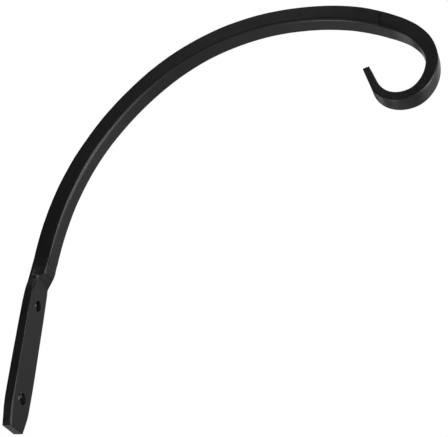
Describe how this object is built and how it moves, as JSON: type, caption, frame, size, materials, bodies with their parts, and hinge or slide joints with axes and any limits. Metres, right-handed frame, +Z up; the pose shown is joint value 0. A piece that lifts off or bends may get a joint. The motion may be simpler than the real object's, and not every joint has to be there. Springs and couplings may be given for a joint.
{
  "type": "hanging plant bracket",
  "caption": "Wall bracket of square steel bar: a flat screw-on strap, a tall arch reaching out from it, and a tapered hook curled under the end of the arch to hang a basket from.",
  "frame": {"origin": "centre of the two screw holes, on the face of the strap that lies against the wall", "axes": "+X out from the wall, along the screws; +Z up, along the strap; +Y across the strap"},
  "size_m": [0.2879, 0.0262, 0.3277],
  "materials": {
    "black_coat": "satin black powder coat over forged steel"
  },
  "bodies": {
    "root": {"wall_strap": "black_coat", "arch_bar": "black_coat", "hook_curl": "black_coat"}
  },
  "joints": []
}
